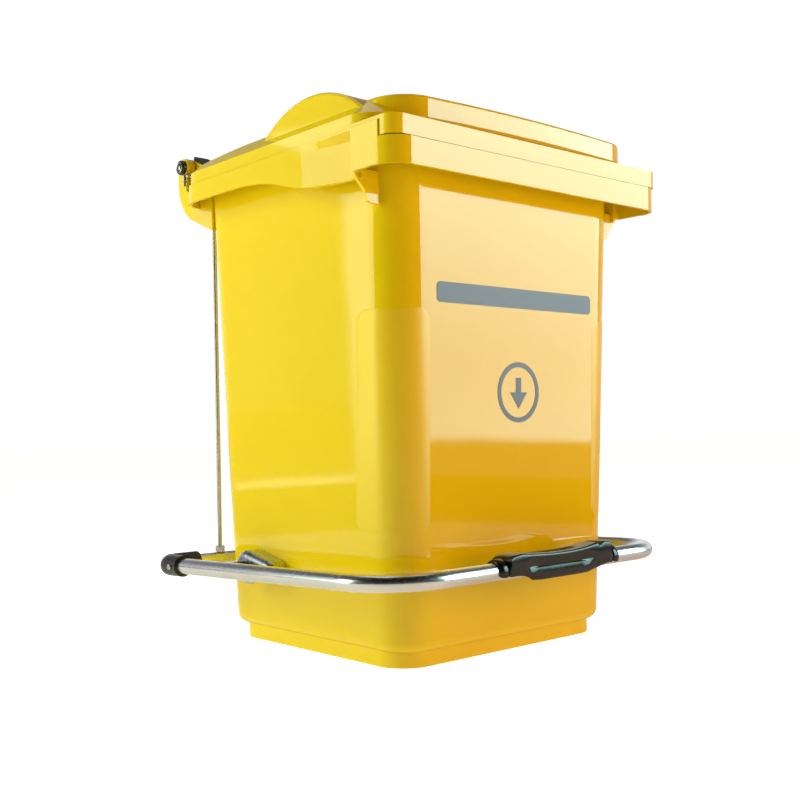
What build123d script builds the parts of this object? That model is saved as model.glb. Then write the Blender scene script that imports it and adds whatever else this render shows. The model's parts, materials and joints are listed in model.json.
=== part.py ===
from build123d import *
import math
import os

os.makedirs("parts", exist_ok=True)

# ---------------------------------------------------------------------------
# Pedal bin.  Millimetres, +Z up, X to the right, -Y is the front (pedal side).
# Origin: centre of the flat underside of the plinth.
# ---------------------------------------------------------------------------

# --- tub -------------------------------------------------------------------
PLINTH_HX = 177.0          # half width of the plinth
PLINTH_HY = 170.0          # half depth of the plinth
PLINTH_R = 40.0
PLINTH_H = 18.0
BASE_T = 5.0               # thickness of the bottom
WALL_T = 4.0
WALL_R = 45.0              # vertical corner radius of the tub
NECK_Z = 606.0             # top of the inner neck

SIDE0, SIDE_K = 184.9, 0.0297      # half width = SIDE0 + SIDE_K * z
FRONT0, FRONT_K = 181.5, 0.0289    # front wall at y = -(FRONT0 + FRONT_K * z)
BACK0, BACK_K = 185.3, 0.0299      # back wall at y = BACK0 + BACK_K * z

RIM_HX = 238.0             # rolled rim, half width
RIM_Y0, RIM_Y1 = -240.5, 206.0
RIM_RF, RIM_RB = 29.0, 42.0        # front and back corner radii of the rim
RIM_T = 4.0
RIM_Z0 = 560.0             # lower edge of the front rim
RIM_Z1 = 590.0             # deck of the front rim
RIM_ZS = 608.0             # deck of the side and back rim
RIM_STEP_Y = -217.0        # where the deck steps from front to side height
GUSSET_Y = 170.0           # front face of the gussets, behind the corner block

GRIP_Y0, GRIP_Y1 = -170.0, -79.0   # hand grip facet in each side rim
GRIP_DEPTH = 13.0
GRIP_Z = 598.4             # top of the facet, from where its ceiling slopes out
GRIP_Z1 = 606.0            # where the ceiling meets the rim face

# --- lid -------------------------------------------------------------------
LID_T = 3.0
LID_HX = 236.0
LID_Y0, LID_Y1 = -238.5, 204.0
LID_LIP_Z = 591.2          # lower edge of the front lip
LID_EDGE_Z = 609.0         # lower edge of the side skirt
LEDGE_Z = 613.0            # narrow ledge along the front
LID_RF = 16.0              # front corners of the lip
PLATEAU_HX, PLATEAU_Y0 = 208.5, -226.0
PLATEAU_BOW = 12.0         # how far the front wall bulges in the middle
PLATEAU_RF = 48.0
COVE_R = 11.2              # concave foot of the front wall
BEVEL_Z = 624.0            # crease along the sides
LID_TOP_Z = 647.0
BEVEL_IN = 27.0            # how far the sides lean in above the crease
FRONT_IN = 2.5
SIDE_Y0 = -203.0           # front end of the sloping sides
VAULT_HX = 221.5           # raised vault across the lid
VAULT_Y0, VAULT_Y1 = -159.0, 13.0
VAULT_RISE = 26.0

# --- hinge and link --------------------------------------------------------
HINGE_Y, HINGE_Z = 234.0, 646.0
PIN_R = 4.0
LUG_X0, LUG_X1 = 200.0, 212.0      # body lug, distance from the centre plane
KNUCKLE_X0, KNUCKLE_X1 = 176.0, 198.5
BOSS_R = 13.0
LINK_Y, LINK_Z = 221.0, 632.0      # push rod hole in the lid knuckle

# --- pedal frame -----------------------------------------------------------
TILT = 1.655               # the frame rests a little nose up
PIVOT_Y, PIVOT_Z = 96.0, 100.3
TUBE_R, TUBE_T = 10.5, 1.5
TUBE_HX = 246.0
TUBE_FRONT = 332.0         # pivot to front tube
TUBE_BEND = 80.0
REAR = 144.0               # pivot to rear crossbar
BAR_R, BAR_T = 10.0, 1.5
BAR_HX = 229.0
ELBOW_R = 14.3
ELBOW_BEND = 17.0

ROD_R = 3.0
ROD_X_LOW, ROD_X_TOP = 160.0, 171.5
TAIL_X = 216.8

# pivot bracket: a pressed dome with two riveted ears
DOME_Y, DOME_R = 97.0, 22.0
DOME_Y2, DOME_R2 = 48.0, 12.0
DOME_X = 214.0
EAR_Y = 128.0              # rear ear
EAR2_Y, EAR2_Z = 25.0, 94.0    # front ear

TREAD_C, TREAD_W = 13.0, 214.0


def side0(z):
    return SIDE0 + SIDE_K * z


def front0(z):
    return -(FRONT0 + FRONT_K * z)


def back0(z):
    return BACK0 + BACK_K * z


def outline(hx, y0, y1, rf, rb):
    """Rectangle with its own front and back corner radii, on the active plane."""
    with BuildSketch(mode=Mode.PRIVATE) as s:
        with Locations((0, (y0 + y1) / 2)):
            Rectangle(2 * hx, y1 - y0)
        fillet(s.vertices().sort_by(Axis.Y)[:2], rf)
        fillet(s.vertices().sort_by(Axis.Y)[-2:], rb)
    return s.sketch


def hull_face(c0, r0, c1, r1):
    """Tangent hull of two circles (a teardrop), as a face in the local plane."""
    d = math.hypot(c1[0] - c0[0], c1[1] - c0[1])
    a = math.atan2(c1[1] - c0[1], c1[0] - c0[0])
    b = math.acos((r0 - r1) / d)
    pts = []
    for c, r, s in ((c0, r0, 1), (c1, r1, 1), (c1, r1, -1), (c0, r0, -1)):
        pts.append((c[0] + r * math.cos(a + s * b), c[1] + r * math.sin(a + s * b)))
    far = (c1[0] + r1 * math.cos(a), c1[1] + r1 * math.sin(a))
    near = (c0[0] - r0 * math.cos(a), c0[1] - r0 * math.sin(a))
    with BuildSketch(mode=Mode.PRIVATE) as s:
        with BuildLine():
            Line(pts[0], pts[1])
            ThreePointArc(pts[1], far, pts[2])
            Line(pts[2], pts[3])
            ThreePointArc(pts[3], near, pts[0])
        make_face()
    return s.sketch


def side_plane(x, side):
    """Plane across X at distance x on the given side; local x = +Y, local y = +Z,
    normal +X."""
    return Plane(origin=(side * x, 0, 0), x_dir=(0, 1, 0), z_dir=(1, 0, 0))


FRAME = Plane(
    origin=(0, PIVOT_Y, PIVOT_Z),
    x_dir=(1, 0, 0),
    z_dir=(0, math.sin(math.radians(TILT)), math.cos(math.radians(TILT))),
)


def frame_point(x, y, z=0.0):
    """World position of a point given in the pedal frame's own plane."""
    return FRAME.from_local_coords((x, y, z))


BAR_POS = frame_point(0, REAR)

# positions of the push rod hook, in side view, while the lid opens
HOOK_PATH = []
for lid_angle in range(0, 81, 10):
    swing = math.radians(lid_angle * 0.1217 - TILT)
    lean = math.radians(lid_angle * 0.0050)
    by = PIVOT_Y + REAR * math.cos(swing)
    bz = PIVOT_Z + REAR * math.sin(swing)
    ry, rz = LINK_Y - BAR_POS.Y, LINK_Z - BAR_POS.Z
    HOOK_PATH.append((by + ry * math.cos(lean) - rz * math.sin(lean), bz + ry * math.sin(lean) + rz * math.cos(lean)))

# ---------------------------------------------------------------------------
# Tub: tapered shell on a plinth, with a hollow rolled rim, hand grips, gussets,
# hinge lugs and a flat pad for each pivot bracket
# ---------------------------------------------------------------------------
with BuildPart() as bin_tub:
    # rim as a solid band: low at the front, higher at the sides and back
    with BuildSketch(Plane.XY.offset(RIM_Z0)):
        add(outline(RIM_HX, RIM_Y0, RIM_Y1, RIM_RF, RIM_RB))
    extrude(amount=RIM_Z1 - RIM_Z0)
    with BuildSketch(Plane.XY.offset(RIM_Z1 - 1)):
        add(outline(RIM_HX, RIM_STEP_Y, RIM_Y1, 1, RIM_RB))
    extrude(amount=RIM_ZS - RIM_Z1 + 1)
    # deeper wall that carries the hand grips
    with BuildSketch(Plane.XY.offset(545)):
        for s in (-1, 1):
            with Locations((s * (RIM_HX - 9), -112)):
                Rectangle(18, 126)
    extrude(amount=30)
    # hollow underside of the rim
    with BuildSketch(Plane.XY.offset(RIM_Z0 - 20)):
        add(outline(RIM_HX - RIM_T, RIM_Y0 + RIM_T, RIM_Y1 - RIM_T, RIM_RF - RIM_T, RIM_RB - RIM_T))
        for s in (-1, 1):
            with BuildLine():
                Polyline(
                    (s * (RIM_HX + 1), -45), (s * (RIM_HX - RIM_T), -45), (s * (RIM_HX - 18), GRIP_Y0 + 12),
                    (s * (RIM_HX - 18), -175), (s * (RIM_HX + 1), -175), close=True,
                )
            make_face(mode=Mode.SUBTRACT)
    extrude(amount=RIM_Z1 - RIM_Z0 + 20 - RIM_T, mode=Mode.SUBTRACT)
    with BuildSketch(Plane.XY.offset(RIM_Z0)):
        add(outline(RIM_HX - RIM_T, RIM_STEP_Y + RIM_T, RIM_Y1 - RIM_T, 6, RIM_RB - RIM_T))
        for s in (-1, 1):
            with BuildLine():
                Polyline(
                    (s * (RIM_HX + 1), -45), (s * (RIM_HX - RIM_T), -45), (s * (RIM_HX - 18), GRIP_Y0 + 12),
                    (s * (RIM_HX - 18), -175), (s * (RIM_HX + 1), -175), close=True,
                )
            make_face(mode=Mode.SUBTRACT)
    extrude(amount=RIM_ZS - RIM_Z0 - RIM_T, mode=Mode.SUBTRACT)
    # hand grips: a facet that runs in towards the front, under a sloping ceiling
    for s in (-1, 1):
        grip = []
        for z, d in ((540, GRIP_DEPTH), (GRIP_Z, GRIP_DEPTH), (GRIP_Z1, 0.4)):
            with BuildSketch(Plane.XY.offset(z), mode=Mode.PRIVATE) as g:
                with BuildLine():
                    Polyline(
                        (s * (RIM_HX + 1), GRIP_Y1),
                        (s * (RIM_HX + 1), GRIP_Y0),
                        (s * (RIM_HX - d), GRIP_Y0),
                        (s * RIM_HX, GRIP_Y1),
                        close=True,
                    )
                make_face()
            grip.append(g.sketch)
        loft(grip[:2], ruled=True, mode=Mode.SUBTRACT)
        loft(grip[1:], ruled=True, mode=Mode.SUBTRACT)
    # the corner block in front of the grip ends level with the front rim
    with BuildSketch(Plane.XY.offset(540)):
        for s in (-1, 1):
            with Locations((s * RIM_HX, GRIP_Y0 - 20)):
                Rectangle(2 * GRIP_DEPTH, 40)
    extrude(amount=RIM_Z0 + 0.5 - 540, mode=Mode.SUBTRACT)
    # lower edge of the side rim: deepest below the grip, sweeping up to the back
    with BuildSketch(Plane.YZ):
        with BuildLine():
            Spline(
                (-176, 555.2), (-120, 555.9), (-79, 558.8), (-55, 563.4), (-35, 569.4), (-14, 575), (7, 579.0),
                (29, 581.7), (75, 584.0), tangents=((1, 0), (1, 0)),
            )
            Polyline((75, 584.0), (240, 584.0), (240, 530), (-176, 530), (-176, 555.2))
        make_face()
    extrude(amount=300, both=True, mode=Mode.SUBTRACT)

    # tapered wall, rounded in at the bottom
    with BuildPart(mode=Mode.PRIVATE) as wall:
        for z in (PLINTH_H, NECK_Z):
            with BuildSketch(Plane.XY.offset(z)):
                add(outline(side0(z), front0(z), back0(z), WALL_R, WALL_R))
        loft()
        fillet(wall.faces().sort_by(Axis.Z)[0].edges(), 14)
    add(wall.part)
    with BuildSketch(Plane.XY):
        RectangleRounded(2 * PLINTH_HX, 2 * PLINTH_HY, PLINTH_R)
    extrude(amount=PLINTH_H + 6)

    # gussets under the rim at the front corners
    for s in (-1, 1):
        with BuildSketch(Plane.XZ.offset(GUSSET_Y)):
            with BuildLine():
                Polyline((s * 233.0, RIM_Z0 + 6), (s * 190, RIM_Z0 + 6), (s * 190, 529.5), (s * 206, 529.5), (s * 213.5, 531.5))
                Spline((s * 213.5, 531.5), (s * 221, 546.5), (s * 233.0, RIM_Z0 + 0.6), (s * 233.0, RIM_Z0 + 6), tangents=((s * 0.3, 1), (0, 1)))
            make_face()
        extrude(amount=-5)

    # hinge lugs: a broad foot on the back corner and a narrow arm up to the boss
    for s in (-1, 1):
        with BuildSketch(side_plane(LUG_X0 - 18 if s > 0 else LUG_X1, s)):
            with BuildLine():
                Spline(
                    (246, 612), (243, 602), (235, 588), (213, 569.5), (196, 560),
                    tangents=((-0.15, -1), (-1, -0.6)),
                )
                Polyline((196, 560), (180, 552), (180, 600), (226, 612), (246, 612))
            make_face()
        foot = extrude(amount=LUG_X1 - LUG_X0 + 18, mode=Mode.PRIVATE)
        # the foot fairs into the side wall towards the front
        with BuildPart(mode=Mode.PRIVATE) as fair:
            with BuildSketch(Plane.XY.offset(540)):
                with BuildLine():
                    Polyline((s * 180, 176), (s * 199, 176), (s * LUG_X1, 214), (s * LUG_X1, 252), (s * 180, 252), close=True)
                make_face()
            extrude(amount=80)
        add(foot & fair.part)
        with BuildSketch(side_plane(LUG_X0 if s > 0 else LUG_X1, s)):
            with BuildLine():
                Polyline((226.5, 600), (226.5, 640), (240, 646), (246.8, 642), (247.6, 625), (246, 612), (240, 598), close=True)
            make_face()
            with Locations((HINGE_Y, HINGE_Z)):
                Circle(BOSS_R)
        extrude(amount=LUG_X1 - LUG_X0)

    # relief in each lug for the hook of the push rod, which swings past it
    for s in (-1, 1):
        with BuildSketch(side_plane(LUG_X0 - 1 if s > 0 else LUG_X1 + 1, s)):
            for a, b in zip(HOOK_PATH[:-1], HOOK_PATH[1:]):
                with BuildLine():
                    d = Vector(b[0] - a[0], b[1] - a[1]).normalized() * (ROD_R + 1.0)
                    Polyline(
                        (a[0] - d.Y, a[1] + d.X), (b[0] - d.Y, b[1] + d.X), (b[0] + d.Y, b[1] - d.X), (a[0] + d.Y, a[1] - d.X), close=True
                    )
                make_face()
            with Locations(*HOOK_PATH):
                Circle(ROD_R + 1.0)
        extrude(amount=LUG_X1 - LUG_X0 + 2, mode=Mode.SUBTRACT)

    # flat pads for the pivot brackets
    for s in (-1, 1):
        with BuildSketch(side_plane(180 if s > 0 else 190, s)):
            add(hull_face((DOME_Y, PIVOT_Z), DOME_R + 0.4, (DOME_Y2, PIVOT_Z), DOME_R2 + 0.4))
            add(hull_face((DOME_Y, PIVOT_Z), 16, (EAR_Y, PIVOT_Z), 10))
            add(hull_face((DOME_Y2, EAR2_Z), 12, (EAR2_Y, EAR2_Z), 9))
        extrude(amount=10)

    # inside of the tub
    with BuildPart(mode=Mode.PRIVATE) as cavity:
        for z in (32.0, NECK_Z + 12):
            with BuildSketch(Plane.XY.offset(z)):
                add(outline(side0(z) - WALL_T, front0(z) + WALL_T, back0(z) - WALL_T, WALL_R - WALL_T, WALL_R - WALL_T))
        loft()
        with BuildSketch(Plane.XY.offset(BASE_T)):
            RectangleRounded(2 * (PLINTH_HX - 5), 2 * (PLINTH_HY - 5), PLINTH_R - 5)
        extrude(amount=32 - BASE_T)
    add(cavity.part, mode=Mode.SUBTRACT)

    # holes: hinge pins and pivot bolts
    with BuildSketch(Plane.YZ.offset(-230)):
        with Locations((HINGE_Y, HINGE_Z)):
            Circle(PIN_R)
    extrude(amount=460, mode=Mode.SUBTRACT)
bin_tub.part.label = "bin_tub"
export_step(bin_tub.part, "parts/bin_tub.step")

# ---------------------------------------------------------------------------
# Lid: shallow pressed cover with a front lip, bevelled edge and a raised vault
# ---------------------------------------------------------------------------
VAULT_C = (VAULT_Y0 + VAULT_Y1) / 2
VAULT_HALF = (VAULT_Y1 - VAULT_Y0) / 2
VAULT_RAD = (VAULT_HALF ** 2 + VAULT_RISE ** 2) / (2 * VAULT_RISE)
VAULT_ZC = 645.0 + VAULT_RISE - VAULT_RAD
VAULT_FOOT_Z = 634.0


def bowed(hx, y0, bow, rf):
    """Front part of the raised panel: a bulging front edge with round corners."""
    with BuildSketch(mode=Mode.PRIVATE) as s:
        with BuildLine():
            ThreePointArc((-hx, y0 + bow), (0, y0), (hx, y0 + bow))
            Polyline((hx, y0 + bow), (hx, -110), (-hx, -110), (-hx, y0 + bow))
        make_face()
        fillet(s.vertices().sort_by(Axis.Y)[:2], rf)
    return s.sketch


def lid_solid(t):
    """Solid shape of the lid, inset by t on every outer face."""
    low = 8 if t else 0
    with BuildPart(mode=Mode.PRIVATE) as p:
        with BuildSketch(Plane.XY.offset(LID_EDGE_Z - low)):
            add(outline(LID_HX - t, LID_Y0 + t, LID_Y1 - t, LID_RF - t, 42 - t))
        extrude(amount=LEDGE_Z - LID_EDGE_Z - t + low)
        # front lip
        with BuildSketch(Plane.XY.offset(LID_LIP_Z - low)):
            with BuildLine():
                Polyline(
                    (-LID_HX + t, RIM_STEP_Y - 0.4 - t), (LID_HX - t, RIM_STEP_Y - 0.4 - t),
                    (LID_HX - t, LID_Y0 + t), (-LID_HX + t, LID_Y0 + t), close=True,
                )
            f = make_face()
            fillet(f.vertices().sort_by(Axis.Y)[:2], LID_RF - t)
        extrude(amount=LEDGE_Z - LID_LIP_Z - t + low)
        # body of the lid with its sloping sides
        with BuildPart(mode=Mode.PRIVATE) as top:
            with BuildSketch(Plane.XY.offset(LEDGE_Z - 4 - low)):
                add(outline(LID_HX - t, SIDE_Y0 + t, LID_Y1 - t, 40 - t, 42 - t))
            extrude(amount=BEVEL_Z - t * 0.3 - LEDGE_Z + 4 + low)
            with BuildSketch(Plane.XY.offset(BEVEL_Z - t * 0.3)):
                add(outline(LID_HX - t, SIDE_Y0 + t, LID_Y1 - t, 40 - t, 42 - t))
            with BuildSketch(Plane.XY.offset(LID_TOP_Z - t)):
                add(outline(LID_HX - BEVEL_IN - t, SIDE_Y0 + 18 + t, LID_Y1 - FRONT_IN - t, 36 - t, 40 - t))
            loft(ruled=True)
            # raised panel with its upright front wall
            with BuildSketch(Plane.XY.offset(LEDGE_Z - 4 - low)):
                add(bowed(PLATEAU_HX - t, PLATEAU_Y0 + t, PLATEAU_BOW, PLATEAU_RF - t))
            extrude(amount=LID_TOP_Z - t - LEDGE_Z + 4 + low)
            if not t:
                front_top = [e for e in top.faces().sort_by(Axis.Z)[-1].edges() if e.center().Y < PLATEAU_Y0 + 46]
                fillet(front_top, 3.5)
            # the back slopes down to the hinge
            with BuildSketch(Plane.YZ):
                with BuildLine():
                    Spline((60, LID_TOP_Z + 0.2 - t), (105, 645.4 - t), (163, 637.4 - t), (212, 625 - t), tangents=((1, 0), (1, -0.3)))
                    Polyline((212, 625 - t), (212, 662), (60, 662), (60, LID_TOP_Z + 0.2 - t))
                make_face()
            extrude(amount=300, both=True, mode=Mode.SUBTRACT)
        add(top.part)
        if not t:
            # concave foot where the front wall meets the ledge
            with BuildPart(mode=Mode.PRIVATE) as cove:
                for dz in (-0.5, 0.25, 1.0, 2.5, 5.0, 8.0, 11.0):
                    c = min(COVE_R, COVE_R - dz)
                    d = COVE_R - math.sqrt(max(COVE_R ** 2 - c ** 2, 0.0)) + (0.3 if dz < 0 else -0.1)
                    with BuildSketch(Plane.XY.offset(LEDGE_Z + dz)):
                        add(bowed(PLATEAU_HX + 0.8 * d, PLATEAU_Y0 - d, PLATEAU_BOW, PLATEAU_RF + 0.3 * d))
                loft()
            add(cove.part)
        # vault
        with BuildPart(mode=Mode.PRIVATE) as vault:
            r = VAULT_RAD - t
            zf = VAULT_FOOT_Z - 4 * (t > 0)
            half = math.sqrt(r ** 2 - (zf - VAULT_ZC) ** 2)
            with BuildSketch(Plane.YZ.offset(-(VAULT_HX - t))):
                with BuildLine():
                    ThreePointArc((VAULT_C - half, zf), (VAULT_C, VAULT_ZC + r), (VAULT_C + half, zf))
                    Polyline((VAULT_C + half, zf), (VAULT_C + half, zf - 9), (VAULT_C - half, zf - 9), (VAULT_C - half, zf))
                make_face()
            extrude(amount=2 * (VAULT_HX - t))
            if not t:
                fillet(vault.edges().filter_by(GeomType.CIRCLE), 4)
        add(vault.part)
    return p.part


lid_outer = lid_solid(0)
lid_inner = lid_solid(LID_T)

with BuildPart() as lid:
    add(lid_outer)
    add(lid_inner, mode=Mode.SUBTRACT)
    # knuckles with the pin bore and the slotted hole for the push rod
    for s in (-1, 1):
        with BuildSketch(side_plane(KNUCKLE_X0 if s > 0 else KNUCKLE_X1, s)):
            with BuildLine():
                Polyline(
                    (HINGE_Y - 5.7, HINGE_Z + 11.7), (186.5, 637.0), (186.5, 612.0), (214.0, 619.0),
                    (LINK_Y, LINK_Z), (HINGE_Y, HINGE_Z), close=True,
                )
            make_face()
            with Locations((HINGE_Y, HINGE_Z)):
                Circle(BOSS_R)
            add(hull_face((HINGE_Y, HINGE_Z), BOSS_R, (LINK_Y - 1.0, LINK_Z + 0.5), 10.5))
        extrude(amount=KNUCKLE_X1 - KNUCKLE_X0)
    with BuildSketch(Plane.YZ.offset(-230)):
        with Locations((HINGE_Y, HINGE_Z)):
            Circle(PIN_R + 0.06)
    extrude(amount=460, mode=Mode.SUBTRACT)
    with BuildSketch(Plane.YZ.offset(-230)):
        with Locations(Location((LINK_Y + 1.07, LINK_Z + 0.54, 0), (0, 0, 1), 58)):
            SlotCenterToCenter(5.8, 2 * (ROD_R + 1.0))
    extrude(amount=460, mode=Mode.SUBTRACT)
lid.part.label = "lid"
export_step(lid.part, "parts/lid.step")

# ---------------------------------------------------------------------------
# Hinge pins, push-on caps and the black buffer strips on the knuckles
# ---------------------------------------------------------------------------
SIDES = ((-1, "left"), (1, "right"))


def x_span(a, b, side):
    """Start plane distance for an extrusion along +X between |x| = a and b."""
    return a if side > 0 else b


for side, name in SIDES:
    with BuildPart() as hinge_pin:
        with BuildSketch(side_plane(x_span(174.6, 217.2, side), side)):
            with Locations((HINGE_Y, HINGE_Z)):
                Circle(PIN_R)
        extrude(amount=217.2 - 174.6)
        fillet(hinge_pin.edges().filter_by(GeomType.CIRCLE), 0.8)
    hinge_pin.part.label = "hinge_pin_" + name
    export_step(hinge_pin.part, "parts/hinge_pin_" + name + ".step")

    with BuildPart() as hinge_cap:
        with BuildSketch(side_plane(x_span(LUG_X1, LUG_X1 + 6.5, side), side)):
            with Locations((HINGE_Y, HINGE_Z)):
                Circle(10)
                Circle(PIN_R, mode=Mode.SUBTRACT)
        extrude(amount=6.5)
        outer = hinge_cap.edges().filter_by(GeomType.CIRCLE).filter_by(lambda e: e.radius > 9)
        fillet(outer.sort_by(Axis.X)[0 if side < 0 else -1], 2.6)
    hinge_cap.part.label = "hinge_cap_" + name
    export_step(hinge_cap.part, "parts/hinge_cap_" + name + ".step")

    slope = math.degrees(math.atan2(HINGE_Z + 11.7 - 637.0, HINGE_Y - 5.7 - 186.5))
    with BuildPart() as lid_buffer:
        with BuildSketch(side_plane(x_span(KNUCKLE_X0 + 0.5, KNUCKLE_X1 - 0.5, side), side)):
            with BuildLine():
                a = math.radians(slope)
                p0 = (HINGE_Y - 4.2, HINGE_Z + 12.4)
                ux, uz = -math.cos(a), -math.sin(a)
                nx, nz = -math.sin(a), math.cos(a)
                q = [(p0[0] + ux * l + nx * h, p0[1] + uz * l + nz * h) for l, h in ((0, 0.3), (43, 0.3), (43, 5.3), (0, 5.3))]
                Polyline(*q, close=True)
            make_face()
        extrude(amount=KNUCKLE_X1 - KNUCKLE_X0 - 1)
        chamfer(lid_buffer.edges().filter_by(Axis.X), 0.8)
    lid_buffer.part.label = "lid_buffer_" + name
    export_step(lid_buffer.part, "parts/lid_buffer_" + name + ".step")

# ---------------------------------------------------------------------------
# Pedal frame: one bent tube, pivoted on both side walls
# ---------------------------------------------------------------------------
with BuildPart() as pedal_tube:
    with BuildLine(FRAME) as path:
        FilletPolyline(
            (-TUBE_HX, REAR - 22), (-TUBE_HX, -TUBE_FRONT), (TUBE_HX, -TUBE_FRONT), (TUBE_HX, REAR - 22),
            radius=TUBE_BEND,
        )
    start = frame_point(-TUBE_HX, REAR - 22)
    d = frame_point(-TUBE_HX, 0) - start
    with BuildSketch(Plane(origin=start, x_dir=(1, 0, 0), z_dir=d)):
        Circle(TUBE_R)
        Circle(TUBE_R - TUBE_T, mode=Mode.SUBTRACT)
    sweep(path=path.wires()[0])
    # pivot holes in the inner wall of each leg
    for s in (-1, 1):
        with BuildSketch(side_plane(x_span(TUBE_HX - TUBE_R - 3, TUBE_HX, s), s)):
            with Locations((PIVOT_Y, PIVOT_Z)):
                Circle(4.06)
        extrude(amount=TUBE_R + 3, mode=Mode.SUBTRACT)
pedal_tube.part.label = "pedal_tube"
export_step(pedal_tube.part, "parts/pedal_tube.step")

# rear crossbar, which turns in the elbows
bar_y, bar_z = BAR_POS.Y, BAR_POS.Z
ROD_DIR = Vector(ROD_X_TOP - ROD_X_LOW, LINK_Y - bar_y, LINK_Z - bar_z)


def rod_point(side, z):
    """Point on the straight part of a push rod at height z."""
    k = (z - bar_z) / ROD_DIR.Z
    return Vector(side * (ROD_X_LOW + k * ROD_DIR.X), bar_y + k * ROD_DIR.Y, z)


def rod_plane(side, z):
    p = rod_point(side, z)
    return Plane(origin=p, x_dir=(0, 1, 0), z_dir=(side * ROD_DIR.X, ROD_DIR.Y, ROD_DIR.Z))


with BuildPart() as rear_crossbar:
    with BuildSketch(Plane.YZ.offset(-BAR_HX)):
        with Locations((bar_y, bar_z)):
            Circle(BAR_R)
            Circle(BAR_R - BAR_T, mode=Mode.SUBTRACT)
    extrude(amount=2 * BAR_HX)
    for s in (-1, 1):
        with BuildSketch(rod_plane(s, bar_z - 16)):
            Circle(ROD_R + 0.02)
        extrude(amount=32, mode=Mode.SUBTRACT)
rear_crossbar.part.label = "rear_crossbar"
export_step(rear_crossbar.part, "parts/rear_crossbar.step")

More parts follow.
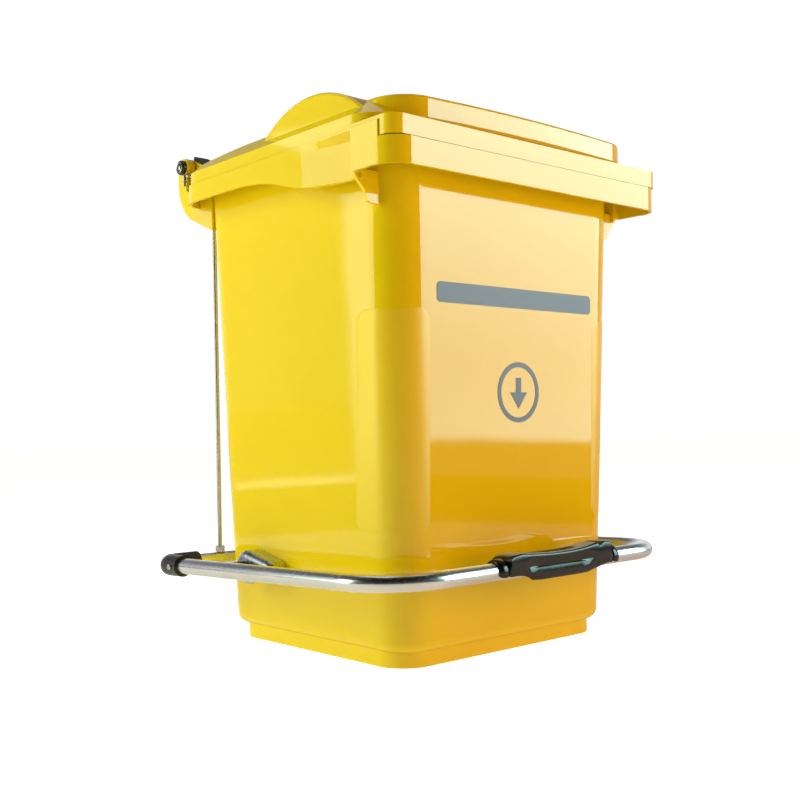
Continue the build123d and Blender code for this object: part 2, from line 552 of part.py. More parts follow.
for side, name in SIDES:
    # elbow: fixed on the tube end, with a bearing socket for the crossbar
    with BuildPart() as elbow:
        with BuildLine(FRAME) as path:
            FilletPolyline(
                (side * TUBE_HX, REAR - 46), (side * TUBE_HX, REAR), (side * 198, REAR), radius=ELBOW_BEND
            )
        p0 = frame_point(side * TUBE_HX, REAR - 46)
        d = frame_point(side * TUBE_HX, REAR) - p0
        with BuildSketch(Plane(origin=p0, x_dir=(1, 0, 0), z_dir=d)):
            Circle(ELBOW_R)
        sweep(path=path.wires()[0])
        with BuildSketch(Plane(origin=p0, x_dir=(1, 0, 0), z_dir=d)):
            Circle(TUBE_R)
        extrude(amount=24, mode=Mode.SUBTRACT)
        with BuildSketch(side_plane(x_span(190, BAR_HX + 1, side), side)):
            with Locations((bar_y, bar_z)):
                Circle(BAR_R + 0.08)
        extrude(amount=BAR_HX + 1 - 190, mode=Mode.SUBTRACT)
        # screw seat
        with BuildSketch(side_plane(x_span(TUBE_HX + 8, TUBE_HX + 16, side), side)):
            with Locations((PIVOT_Y + REAR - 34, PIVOT_Z - 3.4)):
                Circle(2.0)
        extrude(amount=8, mode=Mode.SUBTRACT)
    elbow.part.label = "elbow_" + name
    export_step(elbow.part, "parts/elbow_" + name + ".step")

    with BuildPart() as elbow_screw:
        with BuildSketch(side_plane(x_span(TUBE_HX + 10.6, TUBE_HX + 14.4, side), side)):
            with Locations((PIVOT_Y + REAR - 34, PIVOT_Z - 3.4)):
                Circle(1.98)
        extrude(amount=3.8)
        with BuildSketch(side_plane(x_span(TUBE_HX + 14.4, TUBE_HX + 16.2, side), side)):
            with Locations((PIVOT_Y + REAR - 34, PIVOT_Z - 3.4)):
                Circle(3.6)
        extrude(amount=1.8)
        with BuildSketch(side_plane(x_span(TUBE_HX + 15.4, TUBE_HX + 16.2, side), side)):
            with Locations((PIVOT_Y + REAR - 34, PIVOT_Z - 3.4)):
                Rectangle(4.2, 0.9)
                Rectangle(0.9, 4.2)
        extrude(amount=0.8, mode=Mode.SUBTRACT)
    elbow_screw.part.label = "elbow_screw_" + name
    export_step(elbow_screw.part, "parts/elbow_screw_" + name + ".step")

    # push rod: straight, hooked outwards through the lid knuckle, short tail down
    low = rod_point(side, bar_z - 19)
    top = Vector(side * ROD_X_TOP, LINK_Y, LINK_Z)
    with BuildPart() as push_rod:
        with BuildSketch(Plane(origin=low, x_dir=(0, 1, 0), z_dir=top - low)):
            Circle(ROD_R)
        extrude(amount=(top - low).length)
        with Locations(top):
            Sphere(ROD_R)
        with BuildSketch(side_plane(x_span(ROD_X_TOP, TAIL_X, side), side)):
            with Locations((LINK_Y, LINK_Z)):
                Circle(ROD_R)
        extrude(amount=TAIL_X - ROD_X_TOP)
        with Locations((side * TAIL_X, LINK_Y, LINK_Z)):
            Sphere(ROD_R)
        with BuildSketch(Plane.XY.offset(LINK_Z - 15)):
            with Locations((side * TAIL_X, LINK_Y)):
                Circle(ROD_R)
        extrude(amount=15)
    push_rod.part.label = "push_rod_" + name
    export_step(push_rod.part, "parts/push_rod_" + name + ".step")

    # nuts above and below the crossbar
    for z0, z1, nname in ((bar_z + BAR_R + 0.3, bar_z + BAR_R + 8.8, "upper"), (bar_z - BAR_R - 6.8, bar_z - BAR_R - 0.3, "lower")):
        with BuildPart() as rod_nut:
            with BuildSketch(rod_plane(side, z0)):
                RegularPolygon(6.6, 6)
                Circle(ROD_R, mode=Mode.SUBTRACT)
            extrude(amount=z1 - z0)
        rod_nut.part.label = "rod_nut_" + nname + "_" + name
        export_step(rod_nut.part, "parts/rod_nut_" + nname + "_" + name + ".step")

    # pivot bracket: pressed steel dome with two ears riveted to the pad
    with BuildPart() as pivot_bracket:
        with BuildPart(mode=Mode.PRIVATE) as dome:
            with BuildSketch(side_plane(x_span(190, DOME_X, side), side)):
                add(hull_face((DOME_Y, PIVOT_Z), DOME_R, (DOME_Y2, PIVOT_Z), DOME_R2))
            extrude(amount=DOME_X - 190)
            fillet(dome.faces().sort_by(Axis.X)[0 if side < 0 else -1].edges(), 9)
        add(dome.part)
        with BuildSketch(side_plane(x_span(190, 192, side), side)):
            add(hull_face((DOME_Y, PIVOT_Z), 14, (EAR_Y, PIVOT_Z), 8))
            add(hull_face((DOME_Y2, EAR2_Z), 11, (EAR2_Y, EAR2_Z), 7))
        extrude(amount=2)
        with BuildPart(mode=Mode.PRIVATE) as bowl:
            with BuildSketch(side_plane(x_span(188, DOME_X - 2, side), side)):
                add(hull_face((DOME_Y, PIVOT_Z), DOME_R - 2, (DOME_Y2, PIVOT_Z), DOME_R2 - 2))
            extrude(amount=DOME_X - 2 - 188)
            fillet(bowl.faces().sort_by(Axis.X)[0 if side < 0 else -1].edges(), 7)
        add(bowl.part, mode=Mode.SUBTRACT)
        with BuildSketch(side_plane(x_span(208, 216, side), side)):
            with Locations((PIVOT_Y, PIVOT_Z)):
                Circle(4.0)
        extrude(amount=8, mode=Mode.SUBTRACT)
        with BuildSketch(side_plane(x_span(189, 193, side), side)):
            with Locations((EAR_Y, PIVOT_Z), (EAR2_Y, EAR2_Z)):
                Circle(1.6)
        extrude(amount=4, mode=Mode.SUBTRACT)
    pivot_bracket.part.label = "pivot_bracket_" + name
    export_step(pivot_bracket.part, "parts/pivot_bracket_" + name + ".step")

    with BuildPart() as bracket_rivets:
        with BuildSketch(side_plane(x_span(190, 192, side), side)):
            with Locations((EAR_Y, PIVOT_Z), (EAR2_Y, EAR2_Z)):
                Circle(1.6)
        extrude(amount=2)
        with BuildSketch(side_plane(x_span(192, 193.4, side), side)):
            with Locations((EAR_Y, PIVOT_Z), (EAR2_Y, EAR2_Z)):
                Circle(3.0)
        extrude(amount=1.4)
    bracket_rivets.part.label = "bracket_rivets_" + name
    export_step(bracket_rivets.part, "parts/bracket_rivets_" + name + ".step")

    # pivot bolt with its head inside the dome, and a plastic bush against the tube
    with BuildPart() as pivot_bolt:
        with BuildSketch(side_plane(x_span(206.4, DOME_X - 2, side), side)):
            with Locations((PIVOT_Y, PIVOT_Z)):
                RegularPolygon(7.4, 6)
        extrude(amount=DOME_X - 2 - 206.4)
        with BuildSketch(side_plane(x_span(DOME_X - 2, 242, side), side)):
            with Locations((PIVOT_Y, PIVOT_Z)):
                Circle(4.0)
        extrude(amount=242 - DOME_X + 2)
    pivot_bolt.part.label = "pivot_bolt_" + name
    export_step(pivot_bolt.part, "parts/pivot_bolt_" + name + ".step")

    with BuildPart() as pivot_bush:
        with BuildSketch(side_plane(x_span(DOME_X, 235.1, side), side)):
            with Locations((PIVOT_Y, PIVOT_Z)):
                Circle(8.5)
                Circle(4.0, mode=Mode.SUBTRACT)
        extrude(amount=235.1 - DOME_X)
        chamfer(pivot_bush.edges().filter_by(GeomType.CIRCLE).filter_by(lambda e: e.radius > 8), 0.8)
    pivot_bush.part.label = "pivot_bush_" + name
    export_step(pivot_bush.part, "parts/pivot_bush_" + name + ".step")

# ---------------------------------------------------------------------------
# Tread: a plastic saddle clipped round the front tube, ribbed top
# ---------------------------------------------------------------------------
tread_x0 = TREAD_C - TREAD_W / 2
with BuildPart() as pedal_tread:
    tp = frame_point(0, -TUBE_FRONT)
    t_plane = Plane(
        origin=(tread_x0, tp.Y, tp.Z), x_dir=(0, math.cos(math.radians(TILT)), -math.sin(math.radians(TILT))),
        z_dir=(1, 0, 0),
    )
    with BuildSketch(t_plane):
        Circle(15.0)
        with BuildLine():
            Polyline((-14.6, -4), (-15.6, 8), (-14.4, 17.5), (-12, 19.5), (15, 20.5), (18, 18.5), (18, 9), (13, -4), close=True)
        make_face()
    extrude(amount=TREAD_W)
    # saddle across the width, raised at both ends
    with BuildSketch(Plane.XZ.offset(-tp.Y + 40)):
        with BuildLine():
            ThreePointArc((tread_x0 + 12, tp.Z + 21.5), (TREAD_C, tp.Z + 15.2), (tread_x0 + TREAD_W - 12, tp.Z + 21.5))
            Line((tread_x0 + TREAD_W - 12, tp.Z + 21.5), (tread_x0 + 12, tp.Z + 21.5))
        make_face()
    extrude(amount=-100, mode=Mode.SUBTRACT)
    # the underside stays open so that the tread snaps over the tube
    with BuildSketch(t_plane):
        with Locations((0, -14)):
            Rectangle(14, 14)
    extrude(amount=TREAD_W, mode=Mode.SUBTRACT)
    with BuildSketch(t_plane):
        Circle(TUBE_R)
    extrude(amount=TREAD_W, mode=Mode.SUBTRACT)
pedal_tread.part.label = "pedal_tread"
export_step(pedal_tread.part, "parts/pedal_tread.step")

# ---------------------------------------------------------------------------
# Flat marks on the front wall: a plain bar and a round sign with a down arrow
# ---------------------------------------------------------------------------
FACE_A = math.atan(FRONT_K)


def face_plane(z):
    return Plane(origin=(0, front0(z), z), x_dir=(1, 0, 0), z_dir=(0, -math.cos(FACE_A), -math.sin(FACE_A)))


with BuildPart() as front_bar:
    with BuildSketch(face_plane(433)):
        with Locations((4, 0)):
            RectangleRounded(276, 24, 6)
    extrude(amount=0.5)
front_bar.part.label = "front_bar"
export_step(front_bar.part, "parts/front_bar.step")

with BuildPart() as front_sign:
    with BuildSketch(face_plane(318)):
        with Locations((4, 0)):
            Circle(37)
            Circle(31, mode=Mode.SUBTRACT)
    extrude(amount=0.5)
front_sign.part.label = "front_sign_ring"
export_step(front_sign.part, "parts/front_sign_ring.step")

with BuildPart() as front_arrow:
    with BuildSketch(face_plane(318)):
        with BuildLine():
            Polyline((-0.5, 18), (8.5, 18), (8.5, 0), (19, 0), (4, -20), (-11, 0), (-0.5, 0), close=True)
        make_face()
    extrude(amount=0.5)
front_arrow.part.label = "front_sign_arrow"
export_step(front_arrow.part, "parts/front_sign_arrow.step")
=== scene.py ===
import json
import math
import random

import bpy
import bmesh
from mathutils import Matrix, Vector, noise


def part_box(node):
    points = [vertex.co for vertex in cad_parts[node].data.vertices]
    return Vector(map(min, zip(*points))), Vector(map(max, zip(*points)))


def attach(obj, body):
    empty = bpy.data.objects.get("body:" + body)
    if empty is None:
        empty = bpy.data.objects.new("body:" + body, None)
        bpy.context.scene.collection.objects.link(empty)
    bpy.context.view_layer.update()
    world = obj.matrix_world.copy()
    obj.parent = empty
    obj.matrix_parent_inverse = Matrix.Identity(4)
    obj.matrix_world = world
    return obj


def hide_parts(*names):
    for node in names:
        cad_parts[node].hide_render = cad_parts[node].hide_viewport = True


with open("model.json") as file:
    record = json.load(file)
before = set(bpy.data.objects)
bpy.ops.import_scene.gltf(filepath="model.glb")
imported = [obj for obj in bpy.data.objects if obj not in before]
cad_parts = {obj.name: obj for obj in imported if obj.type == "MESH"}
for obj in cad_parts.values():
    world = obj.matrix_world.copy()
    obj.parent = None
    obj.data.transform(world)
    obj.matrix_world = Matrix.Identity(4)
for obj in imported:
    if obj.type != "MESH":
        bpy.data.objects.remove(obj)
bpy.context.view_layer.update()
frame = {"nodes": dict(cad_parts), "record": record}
nodes = frame["nodes"]

scene = bpy.context.scene
scene.view_settings.view_transform = "Standard"
scene.view_settings.look = "None"

# ---------------------------------------------------------------------------
# Materials
# ---------------------------------------------------------------------------


def new_mat(name):
    m = bpy.data.materials.new(name)
    m.use_nodes = True
    nt = m.node_tree
    b = nt.nodes["Principled BSDF"]
    return m, nt, b


def coords(nt):
    return nt.nodes.new("ShaderNodeTexCoord").outputs["Object"]


def noise_node(nt, vec, scale, detail=4.0, rough=0.55, distortion=0.0):
    n = nt.nodes.new("ShaderNodeTexNoise")
    n.inputs["Scale"].default_value = scale
    n.inputs["Detail"].default_value = detail
    n.inputs["Roughness"].default_value = rough
    n.inputs["Distortion"].default_value = distortion
    nt.links.new(vec, n.inputs["Vector"])
    return n.outputs["Fac"]


def ramp(nt, fac, stops):
    r = nt.nodes.new("ShaderNodeValToRGB")
    el = r.color_ramp.elements
    while len(el) > 1:
        el.remove(el[-1])
    el[0].position, el[0].color = stops[0][0], stops[0][1]
    for p, c in stops[1:]:
        e = el.new(p)
        e.color = c
    nt.links.new(fac, r.inputs["Fac"])
    return r.outputs["Color"]


def grey(v):
    return (v, v, v, 1.0)


def bump(nt, b, height, strength, distance, prev=None):
    n = nt.nodes.new("ShaderNodeBump")
    n.inputs["Strength"].default_value = strength
    n.inputs["Distance"].default_value = distance
    nt.links.new(height, n.inputs["Height"])
    if prev is not None:
        nt.links.new(prev, n.inputs["Normal"])
    return n.outputs["Normal"]


def stretch(nt, vec, sx, sy, sz):
    m = nt.nodes.new("ShaderNodeMapping")
    m.inputs["Scale"].default_value = (sx, sy, sz)
    nt.links.new(vec, m.inputs["Vector"])
    return m.outputs["Vector"]


def yellow_plastic(name, r0, r1):
    m, nt, b = new_mat(name)
    v = coords(nt)
    cloud = noise_node(nt, v, 3.0, 3.0)
    col = ramp(nt, cloud, [(0.30, (0.790, 0.575, 0.0040, 1)), (0.70, (0.810, 0.600, 0.0060, 1))])
    nt.links.new(col, b.inputs["Base Color"])
    scuff = noise_node(nt, v, 38.0, 6.0, 0.62)
    r = ramp(nt, scuff, [(0.35, grey(r0)), (0.75, grey(r1))])
    nt.links.new(r, b.inputs["Roughness"])
    b.inputs["IOR"].default_value = 1.5
    wave = noise_node(nt, v, 7.0, 2.0, 0.4)
    n1 = bump(nt, b, wave, 0.10, 0.0016)
    grain = noise_node(nt, v, 900.0, 2.0, 0.5)
    n2 = bump(nt, b, grain, 0.05, 0.0002, n1)
    nt.links.new(n2, b.inputs["Normal"])
    return m


def chrome_tube():
    m, nt, b = new_mat("plated_tube")
    v = coords(nt)
    b.inputs["Metallic"].default_value = 1.0
    c = ramp(nt, noise_node(nt, v, 16.0, 3.0), [(0.3, (0.72, 0.73, 0.76, 1)), (0.7, (0.82, 0.825, 0.84, 1))])
    nt.links.new(c, b.inputs["Base Color"])
    fine = noise_node(nt, stretch(nt, v, 260.0, 260.0, 900.0), 1.0, 4.0, 0.6)
    r = ramp(nt, fine, [(0.3, grey(0.21)), (0.8, grey(0.30))])
    nt.links.new(r, b.inputs["Roughness"])
    n = bump(nt, b, fine, 0.04, 0.00012)
    nt.links.new(n, b.inputs["Normal"])
    return m


def steel(name, lo, hi, r0, r1, sx, sy, sz):
    m, nt, b = new_mat(name)
    v = coords(nt)
    b.inputs["Metallic"].default_value = 1.0
    f = noise_node(nt, stretch(nt, v, sx, sy, sz), 1.0, 5.0, 0.6)
    c = ramp(nt, f, [(0.3, (*lo, 1)), (0.7, (*hi, 1))])
    nt.links.new(c, b.inputs["Base Color"])
    r = ramp(nt, f, [(0.3, grey(r0)), (0.75, grey(r1))])
    nt.links.new(r, b.inputs["Roughness"])
    n = bump(nt, b, f, 0.08, 0.0002)
    nt.links.new(n, b.inputs["Normal"])
    return m


def black_plastic(name, col, r0, r1, grain, coat=0.0):
    m, nt, b = new_mat(name)
    v = coords(nt)
    f = noise_node(nt, v, grain, 5.0, 0.6)
    c = ramp(nt, f, [(0.3, (col * 0.8, col * 0.8, col * 0.85, 1)), (0.75, (col * 1.35, col * 1.35, col * 1.4, 1))])
    nt.links.new(c, b.inputs["Base Color"])
    r = ramp(nt, f, [(0.3, grey(r0)), (0.75, grey(r1))])
    nt.links.new(r, b.inputs["Roughness"])
    b.inputs["Coat Weight"].default_value = coat
    b.inputs["Coat Roughness"].default_value = 0.08
    n = bump(nt, b, f, 0.12, 0.0004)
    nt.links.new(n, b.inputs["Normal"])
    return m


def print_ink():
    m, nt, b = new_mat("slate_print")
    v = coords(nt)
    f = noise_node(nt, v, 240.0, 4.0, 0.6)
    c = ramp(nt, f, [(0.3, (0.105, 0.122, 0.205, 1)), (0.75, (0.118, 0.135, 0.222, 1))])
    nt.links.new(c, b.inputs["Base Color"])
    r = ramp(nt, f, [(0.3, grey(0.42)), (0.8, grey(0.50))])
    nt.links.new(r, b.inputs["Roughness"])
    return m


YELLOW = yellow_plastic("yellow_polypropylene", 0.030, 0.055)
SATIN = yellow_plastic("yellow_satin_texture", 0.30, 0.38)
CHROME = chrome_tube()
ROD = steel("drawn_rod", (0.50, 0.49, 0.47), (0.66, 0.65, 0.63), 0.20, 0.34, 500, 500, 60)
BRACKET = steel("pressed_steel", (0.42, 0.48, 0.54), (0.66, 0.70, 0.75), 0.24, 0.40, 210, 210, 30)
TREAD = black_plastic("tread_plastic", 0.006, 0.14, 0.24, 160.0, 0.0)
FITTING = black_plastic("fitting_plastic", 0.013, 0.24, 0.46, 150.0, 0.0)
RUBBER = black_plastic("buffer_rubber", 0.012, 0.55, 0.75, 520.0, 0.0)
INK = print_ink()

BY_SLOT = {
    "yellow_shell": YELLOW, "front_print": INK, "tube_steel": CHROME, "rod_steel": ROD, "bracket_steel": BRACKET,
    "tread_black": TREAD, "fitting_black": FITTING, "buffer_black": RUBBER, "bush_black": FITTING,
}
for sp in frame["record"]["subparts"]:
    o = nodes[sp["node"]]
    o.data.materials.clear()
    o.data.materials.append(BY_SLOT[sp["material_slot"]])

# ---------------------------------------------------------------------------
# Detailed pieces
# ---------------------------------------------------------------------------


def finish_mesh(name, bm, mat, angle=35.0):
    """Turns a bmesh into an object with smooth faces and sharp creases."""
    bmesh.ops.remove_doubles(bm, verts=bm.verts, dist=1e-6)
    bmesh.ops.recalc_face_normals(bm, faces=bm.faces)
    for f in bm.faces:
        f.smooth = True
    for e in bm.edges:
        if len(e.link_faces) == 2 and e.calc_face_angle(0.0) > math.radians(angle):
            e.smooth = False
    me = bpy.data.meshes.new(name)
    bm.to_mesh(me)
    bm.free()
    me.materials.append(mat)
    o = bpy.data.objects.new(name, me)
    scene.collection.objects.link(o)
    return o


def skin(bm, rings):
    """Closed skin over rings that all have the same number of points."""
    vs = [[bm.verts.new(p) for p in r] for r in rings]
    n = len(vs[0])
    for a, b in zip(vs, vs[1:]):
        for i in range(n):
            j = (i + 1) % n
            bm.faces.new((a[i], a[j], b[j], b[i]))
    bm.faces.new(list(reversed(vs[0])))
    bm.faces.new(vs[-1])
    return vs


def smooth01(x):
    x = max(0.0, min(1.0, x))
    return x * x * (3 - 2 * x)


def mm(*p):
    return tuple(v / 1000.0 for v in p)


def make_tread():
    """Moulded saddle clipped round the front tube: end rings, waisted ribbed top, flat front facet."""
    lo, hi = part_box("pedal_tread")
    tlo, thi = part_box("pedal_tube")
    x0, x1 = lo[0] * 1000, hi[0] * 1000
    cy, cz = tlo[1] * 1000 + 10.5, 109.89
    w = x1 - x0
    rows = []
    # station: x, top height; the ring and facet flags are worked out from x in the loop below
    st = [(0.0, 12.6), (1.2, 14.2), (3.0, 15.0), (9.0, 15.2), (11.0, 14.6), (12.0, 13.2), (13.0, 13.2), (14.5, 15.6), (18.0, 17.6), (24.0, 18.6), (32.0, 19.4),
          (40.0, 19.2), (44.0, 18.4), (50.0, 18.2), (66.0, 17.2), (84.0, 16.4), (102.0, 16.1), (120.0, 16.3), (138.0, 17.2), (152.0, 18.6), (162.0, 20.0), (168.0, 21.0),
          (170.5, 21.2), (172.5, 19.2), (174.5, 18.4), (176.5, 18.9), (179.0, 21.0), (184.0, 21.9), (192.0, 21.2), (197.0, 19.6), (199.0, 17.6), (200.0, 13.4), (203.0, 13.4),
          (204.0, 15.6), (206.0, 16.4), (211.0, 15.6), (213.0, 14.4), (w, 12.8)]
    for dx, top in st:
        u = dx / w
        ring = dx < 13.5 or dx > 198.5
        f = 0.0 if ring else smooth01((dx - 42) / 12) * smooth01((162 - dx) / 16)
        deep = smooth01((dx - 26) / 40) * smooth01((196 - dx) / 44)
        lip = 22 + 40 * deep
        if ring:
            turn = (-22, -12, -2, 6, 12, 18, 26, 36, 48, 56, 62, 70, 80, 92, 104, 122, 140, 165, 195, 212)
            out = [(min(top, 15.2) * math.cos(math.radians(a)), top * math.sin(math.radians(a))) for a in turn]
        else:
            plain = [(13.9, -5.8 - 6.0 * deep), (15.0, -4.6 - 5.4 * deep), (15.4, -3.0 - 4.0 * deep), (15.9, 1.0), (16.0, 2.4), (16.1, 4.0), (16.2, 6.0), (16.3, 9.0)]
            faced = [(14.6, -13.6), (16.2, -11.6), (16.9, -9.4), (15.3, 0.8), (14.4, 1.4), (13.5, 2.4), (13.9, 5.0), (15.0, 9.0)]
            out = [(a[0] + (b[0] - a[0]) * f, a[1] + (b[1] - a[1]) * f) for a, b in zip(plain, faced)]
            out += [(16.2, top - 3.2), (15.9, top - 1.6), (15.0, top - 0.5), (13.6, top), (7.0, top), (0.0, top), (-7.0, top - 0.2),
                    (-13.0, top - 0.8), (-15.2, top - 3.0), (-16.0, 6.0), (-15.4, -3.0), (-13.4, -7.4)]
        pts = [(x0 + dx, cy - a, cz + b) for a, b in out]
        for k in range(20):
            a = math.radians(212 - (212 + lip) * k / 19)
            pts.append((x0 + dx, cy - 10.58 * math.cos(a), cz + 10.58 * math.sin(a)))
        rows.append([mm(*p) for p in pts])
    bm = bmesh.new()
    skin(bm, rows)
    # anti-slip ribs across the waisted top
    for i in range(23):
        dx = 62 + i * 4.4
        u = (dx - 102) / 66
        top = 16.1 + 2.3 * u * u + (0.5 if u > 0 else 0.2) * abs(u)
        half = 9.2 - 1.2 * abs(u)
        ring_pts = []
        for yy, hh in ((-half, -1.2), (-half + 0.8, 0.25), (-half + 2.2, 0.75), (0, 0.85), (half - 2.2, 0.75), (half - 0.8, 0.25), (half, -1.2)):
            zz = top + hh - 0.25 - (abs(yy) / 17.2) ** 3.4 * 4.0
            ring_pts.append([
                mm(x0 + dx - 0.9, cy - yy, cz + zz - 0.8), mm(x0 + dx - 0.45, cy - yy, cz + zz), mm(x0 + dx + 0.45, cy - yy, cz + zz), mm(x0 + dx + 0.9, cy - yy, cz + zz - 0.8),
                mm(x0 + dx + 0.9, cy - yy, cz + top - 3.0), mm(x0 + dx - 0.9, cy - yy, cz + top - 3.0)])
        skin(bm, ring_pts)
    o = finish_mesh("tread_saddle", bm, TREAD, 38.0)
    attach(o, "pedal_frame")
    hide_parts("pedal_tread")
    return o


def make_corner_pad(side):
    """Finely textured area moulded round a front corner of the tub, a fraction of a millimetre proud."""
    z0, z1 = 157.0, 413.0
    rr = 15.0
    bm = bmesh.new()
    nz, ns = 46, 34
    rows_out, rows_in = [], []
    for i in range(nz + 1):
        z = z0 + (z1 - z0) * (0.5 - 0.5 * math.cos(math.pi * i / nz))
        hx = 184.9 + 0.0297 * z
        fy = -(181.5 + 0.0289 * z)
        ya = -96.0 - 0.0628 * (z - 0.0) - 2.0        # rear end on the side wall
        straight = (fy + 45.0) - ya                  # negative y direction
        sa = abs(straight)
        arc = math.pi / 2 * 45.0
        sb = (hx - 45.0) - 144.7
        total = sa + arc + sb
        dz = max(0.0, rr - (z - z0), rr - (z1 - z))
        inset = rr - math.sqrt(max(rr * rr - dz * dz, 0.0))
        for rows, off in ((rows_out, 0.32), (rows_in, -0.7)):
            row = []
            for k in range(ns + 1):
                q = k / ns
                sd = inset + (total - 2 * inset) * q
                edge = min(q, 1 - q) * (total - 2 * inset)
                lift = off if off < 0 else 0.05 + (off - 0.05) * smooth01(edge / 1.6) * smooth01(min(z - z0, z1 - z) / 1.6 + 0.05)
                if sd < sa:
                    p, nrm = (-hx, ya - sd), (-1.0, 0.0)
                elif sd < sa + arc:
                    a = (sd - sa) / 45.0
                    nrm = (-math.cos(a), -math.sin(a))
                    p = (-(hx - 45.0) + 45.0 * nrm[0], fy + 45.0 + 45.0 * nrm[1])
                else:
                    p, nrm = (-(hx - 45.0) + (sd - sa - arc), fy), (0.0, -1.0)
                row.append(mm(side * -(p[0] + nrm[0] * lift), p[1] + nrm[1] * lift, z))
            rows.append(row)
    vo = [[bm.verts.new(p) for p in r] for r in rows_out]
    vi = [[bm.verts.new(p) for p in r] for r in rows_in]
    for i in range(nz):
        for k in range(ns):
            bm.faces.new((vo[i][k], vo[i][k + 1], vo[i + 1][k + 1], vo[i + 1][k]))
            bm.faces.new((vi[i][k], vi[i + 1][k], vi[i + 1][k + 1], vi[i][k + 1]))
        for a, b in ((0, 0), (ns, ns)):
            bm.faces.new((vo[i][a], vo[i + 1][a], vi[i + 1][b], vi[i][b]) if a == 0 else (vo[i][a], vi[i][b], vi[i + 1][b], vo[i + 1][a]))
    for k in range(ns):
        bm.faces.new((vo[0][k], vi[0][k], vi[0][k + 1], vo[0][k + 1]))
        bm.faces.new((vo[nz][k], vo[nz][k + 1], vi[nz][k + 1], vi[nz][k]))
    o = finish_mesh("corner_texture_" + ("left" if side < 0 else "right"), bm, SATIN, 50.0)
    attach(o, "bin_body")
    return o


def lathe(bm, centre, axis_sign, profile, seg=40):
    """Turned shape round an axis along X; profile is (distance along the axis, radius) and starts and ends on the axis."""
    rings = []
    for d, r in profile:
        x = centre[0] + axis_sign * d
        if r <= 0:
            rings.append([bm.verts.new(mm(x, centre[1], centre[2]))])
        else:
            rings.append([bm.verts.new(mm(x, centre[1] + r * math.cos(2 * math.pi * k / seg), centre[2] + r * math.sin(2 * math.pi * k / seg))) for k in range(seg)])
    for a, b in zip(rings, rings[1:]):
        for k in range(seg):
            j = (k + 1) % seg
            if len(a) == 1:
                bm.faces.new((a[0], b[k], b[j]))
            elif len(b) == 1:
                bm.faces.new((a[k], a[j], b[0]))
            else:
                bm.faces.new((a[k], a[j], b[j], b[k]))


def make_cap_centre(side, name):
    """Steel pin end showing in the middle of the push-on cap, inside a raised ring."""
    lo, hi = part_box("hinge_cap_" + name)
    cy, cz = (lo[1] + hi[1]) * 500, (lo[2] + hi[2]) * 500
    x = (lo[0] if side < 0 else hi[0]) * 1000
    bm = bmesh.new()
    lathe(bm, (x, cy, cz), side, [(-1.0, 0), (-1.0, 4.1), (0.3, 4.1), (0.62, 3.7), (0.9, 2.2), (1.0, 0)])
    for rad, tube in ((6.6, 0.75),):
        prof = []
        for k in range(9):
            a = math.pi * 2 * k / 8
            prof.append((tube * math.sin(a), rad + tube * math.cos(a)))
        seg = 44
        grid = [[bm.verts.new(mm(x + side * (0.05 + d), cy + r * math.cos(2 * math.pi * q / seg), cz + r * math.sin(2 * math.pi * q / seg))) for q in range(seg)] for d, r in prof[:-1]]
        for a in range(8):
            for q in range(seg):
                b, r = (a + 1) % 8, (q + 1) % seg
                bm.faces.new((grid[a][q], grid[b][q], grid[b][r], grid[a][r]))
    o = finish_mesh("pin_end_" + name, bm, ROD, 40.0)
    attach(o, "bin_body")
    return o


make_tread()
for sd, nm in ((-1, "left"), (1, "right")):
    make_corner_pad(sd)
    make_cap_centre(sd, nm)

# ---------------------------------------------------------------------------
# Stage: floor, lights, camera
# ---------------------------------------------------------------------------


def stage_plane(name, loc, size, rot, mat):
    bpy.ops.mesh.primitive_plane_add(size=1, location=loc, rotation=rot)
    o = bpy.context.object
    o.name = name
    o.scale = (size[0], size[1], 1)
    o.data.materials.append(mat)
    return o


fm, fnt, fb = new_mat("floor_pale")
fb.inputs["Base Color"].default_value = (0.86, 0.86, 0.86, 1)
fb.inputs["Roughness"].default_value = 0.9
fb.inputs["Specular IOR Level"].default_value = 0.1
fb.inputs["Emission Color"].default_value = (1, 1, 1, 1)
lpf = fnt.nodes.new("ShaderNodeLightPath")
glow = fnt.nodes.new("ShaderNodeMapRange")
glow.inputs["To Min"].default_value = 0.22
glow.inputs["To Max"].default_value = 0.93
fnt.links.new(lpf.outputs["Is Camera Ray"], glow.inputs["Value"])
up = fnt.nodes.new("ShaderNodeMath")
up.operation = "MULTIPLY_ADD"
up.inputs[1].default_value = 0.16
fnt.links.new(lpf.outputs["Is Diffuse Ray"], up.inputs[0])
fnt.links.new(glow.outputs["Result"], up.inputs[2])
fnt.links.new(up.outputs[0], fb.inputs["Emission Strength"])
stage_plane("floor", (0, 0, 0), (40, 40), (0, 0, 0), fm)

# world: white behind the bin, darker room on the near side
w = bpy.data.worlds.new("studio")
scene.world = w
w.use_nodes = True
wt = w.node_tree
for n in list(wt.nodes):
    wt.nodes.remove(n)


def wnode(kind):
    return wt.nodes.new(kind)


geo = wnode("ShaderNodeTexCoord")
dot = wnode("ShaderNodeVectorMath")
dot.operation = "DOT_PRODUCT"
dot.inputs[1].default_value = (0.663, 0.749, 0.0)
wt.links.new(geo.outputs["Generated"], dot.inputs[0])
half = wnode("ShaderNodeMath")
half.operation = "MULTIPLY_ADD"
half.inputs[1].default_value = 0.5
half.inputs[2].default_value = 0.5
wt.links.new(dot.outputs["Value"], half.inputs[0])
room = ramp(wt, half.outputs[0], [
    (0.00, (0.030, 0.024, 0.018, 1)), (0.36, (0.050, 0.042, 0.034, 1)), (0.46, (0.12, 0.11, 0.10, 1)),
    (0.56, (0.36, 0.36, 0.36, 1)), (0.72, (0.50, 0.50, 0.51, 1)), (0.95, (0.95, 0.95, 0.95, 1)),
])
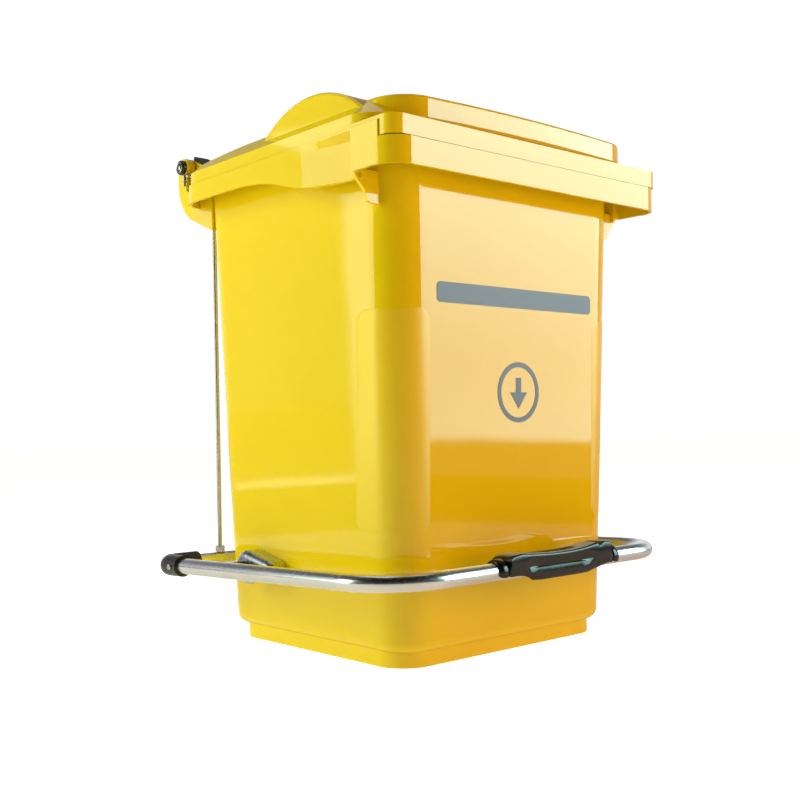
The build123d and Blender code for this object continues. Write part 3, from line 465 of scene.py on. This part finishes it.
# the ceiling is darker than the wall behind the bin
sky = wnode("ShaderNodeSeparateXYZ")
wt.links.new(geo.outputs["Generated"], sky.inputs[0])
ceiling = ramp(wt, sky.outputs["Z"], [(0.0, grey(1.0)), (0.24, grey(1.0)), (0.50, grey(0.22)), (1.0, grey(0.12))])
b_room = wnode("ShaderNodeBackground")
wt.links.new(room, b_room.inputs["Color"])
wt.links.new(ceiling, b_room.inputs["Strength"])
b_amb = wnode("ShaderNodeBackground")
b_amb.inputs["Color"].default_value = (1.0, 0.62, 0.40, 1)
b_amb.inputs["Strength"].default_value = 0.12
b_cam = wnode("ShaderNodeBackground")
b_cam.inputs["Color"].default_value = (1, 1, 1, 1)
b_cam.inputs["Strength"].default_value = 1.05
lp = wnode("ShaderNodeLightPath")
m1, m2 = wnode("ShaderNodeMixShader"), wnode("ShaderNodeMixShader")
wt.links.new(lp.outputs["Is Glossy Ray"], m1.inputs["Fac"])
wt.links.new(b_amb.outputs[0], m1.inputs[1])
wt.links.new(b_room.outputs[0], m1.inputs[2])
wt.links.new(lp.outputs["Is Camera Ray"], m2.inputs["Fac"])
wt.links.new(m1.outputs[0], m2.inputs[1])
wt.links.new(b_cam.outputs[0], m2.inputs[2])
wo = wnode("ShaderNodeOutputWorld")
wt.links.new(m2.outputs[0], wo.inputs["Surface"])


def area(name, loc, target, size, radiance, color=(1, 1, 1), diffuse=True, glossy=True):
    """Area light whose face has the given radiance; it can feed only diffuse or only glossy rays."""
    ld = bpy.data.lights.new(name, "AREA")
    ld.shape = "RECTANGLE"
    ld.size, ld.size_y = size
    ld.energy = radiance * math.pi * size[0] * size[1]
    ld.color = color
    o = bpy.data.objects.new(name, ld)
    scene.collection.objects.link(o)
    o.location = loc
    d = Vector(target) - Vector(loc)
    o.rotation_euler = d.to_track_quat("-Z", "Y").to_euler()
    o.visible_camera = False
    o.visible_diffuse = diffuse
    o.visible_glossy = glossy
    return o


def fade(light, stops):
    """Radiance that changes along the height of an area light (0 at one end, 1 at the other)."""
    ld = light.data
    ld.use_nodes = True
    t = ld.node_tree
    em = t.nodes["Emission"]
    g = t.nodes.new("ShaderNodeNewGeometry")
    sep = t.nodes.new("ShaderNodeSeparateXYZ")
    t.links.new(g.outputs["Parametric"], sep.inputs[0])
    c = ramp(t, sep.outputs["Y"], [(p, grey(v)) for p, v in stops])
    t.links.new(c, em.inputs["Strength"])


# tall softbox mirrored by the flat front wall, rim and lid lip
SB_Z0, SB_H = 0.145, 1.45
sf = area("softbox_front", (1.62, -1.72, SB_Z0 + SB_H / 2), (0.0, -0.05, SB_Z0 + SB_H / 2), (1.7, SB_H), 9.0, (0.64, 1.09, 1.04), diffuse=False)
fade(sf, [(0.0, 0.50), (0.18, 0.48), (0.42, 0.66), (0.75, 0.96), (1.0, 1.02)])

def light_card(name, origin, azimuth, outline, strength, color):
    """Upright glowing card seen only by reflections; outline is in metres along the card and in height."""
    m = bpy.data.materials.new(name)
    m.use_nodes = True
    nt = m.node_tree
    nt.nodes.clear()
    em = nt.nodes.new("ShaderNodeEmission")
    em.inputs["Color"].default_value = (*color, 1)
    em.inputs["Strength"].default_value = strength
    out = nt.nodes.new("ShaderNodeOutputMaterial")
    nt.links.new(em.outputs[0], out.inputs["Surface"])
    n = Vector((math.cos(azimuth), math.sin(azimuth), 0))
    t = Vector((-n.y, n.x, 0))
    me = bpy.data.meshes.new(name)
    me.from_pydata([tuple(Vector(origin) + t * a + Vector((0, 0, z))) for a, z in outline], [], [tuple(range(len(outline)))])
    me.materials.append(m)
    o = bpy.data.objects.new(name, me)
    scene.collection.objects.link(o)
    o.visible_camera = False
    o.visible_diffuse = False
    o.visible_shadow = False
    o.visible_transmission = False
    return o


# soft light at the left, mirrored by the hand grip and the front end of the side wall
A140 = math.radians(140)
light_card("card_left", (-0.196 + 2.0 * math.cos(A140), -0.140 + 2.0 * math.sin(A140), 0), A140, [
    (-0.412, 0.02), (0.48, 0.02), (0.48, 1.30), (-0.20, 1.25), (-0.60, 1.175), (-0.60, 1.15), (-0.474, 1.107), (-0.450, 1.076),
    (-0.426, 1.036), (-0.408, 0.96)], 2.8, (0.92, 0.99, 0.86))

# broad diffuse light: cool key on the left, warm fill on the front, soft top
area("key_left", (-2.05, 1.60, 1.05), (0, 0, 0.33), (1.7, 2.0), 6.3, (0.98, 1.05, 0.78), glossy=False)
area("fill_front", (0.95, -2.2, 0.75), (0, 0, 0.33), (1.6, 1.6), 4.3, (1.0, 0.58, 0.29), glossy=False)
area("top", (0.2, 0.6, 3.2), (0, 0, 0), (2.4, 2.4), 0.8)


def dark_panel(name, loc, size, rot, glow=0.0):
    """Dark card that only reflections see; it keeps the far floor out of the gloss."""
    m, nt, b = new_mat(name)
    b.inputs["Base Color"].default_value = (0.03, 0.026, 0.022, 1)
    b.inputs["Roughness"].default_value = 1.0
    b.inputs["Emission Color"].default_value = (1.0, 0.99, 1.0, 1)
    b.inputs["Emission Strength"].default_value = glow
    o = stage_plane(name, loc, size, rot, m)
    o.visible_camera = False
    o.visible_diffuse = False
    o.visible_shadow = False
    o.visible_transmission = False
    return o


dark_panel("card_low_left", (-0.95, 0.87, 0.056), (1.9, 0.112), (math.radians(90), 0, math.radians(40)), 0.22)
dark_panel("card_front", (0.92, -1.02, 0.055), (2.6, 0.11), (math.radians(90), 0, math.radians(43)))

# camera
AZ, EL, RO = math.radians(41.52682616767662), math.radians(0.5507441711260953), math.radians(-1.1421225323545312)
F = Vector((math.cos(EL) * math.sin(AZ), math.cos(EL) * math.cos(AZ), math.sin(EL)))
R0 = Vector((math.cos(AZ), -math.sin(AZ), 0))
U0 = R0.cross(F)
R = R0 * math.cos(RO) + U0 * math.sin(RO)
U = -R0 * math.sin(RO) + U0 * math.cos(RO)
cd = bpy.data.cameras.new("camera")
cam = bpy.data.objects.new("camera", cd)
scene.collection.objects.link(cam)
cam.matrix_world = Matrix(((R.x, U.x, -F.x, -0.98966), (R.y, U.y, -F.y, -1.10252), (R.z, U.z, -F.z, 0.27457), (0, 0, 0, 1)))
cd.sensor_width = 36.0
cd.lens = 36.0 * 1088.2017 / 800
cd.shift_x = (400 - 405.958) / 800
cd.shift_y = (419.382 - 400) / 800
cd.clip_start = 0.02
scene.camera = cam
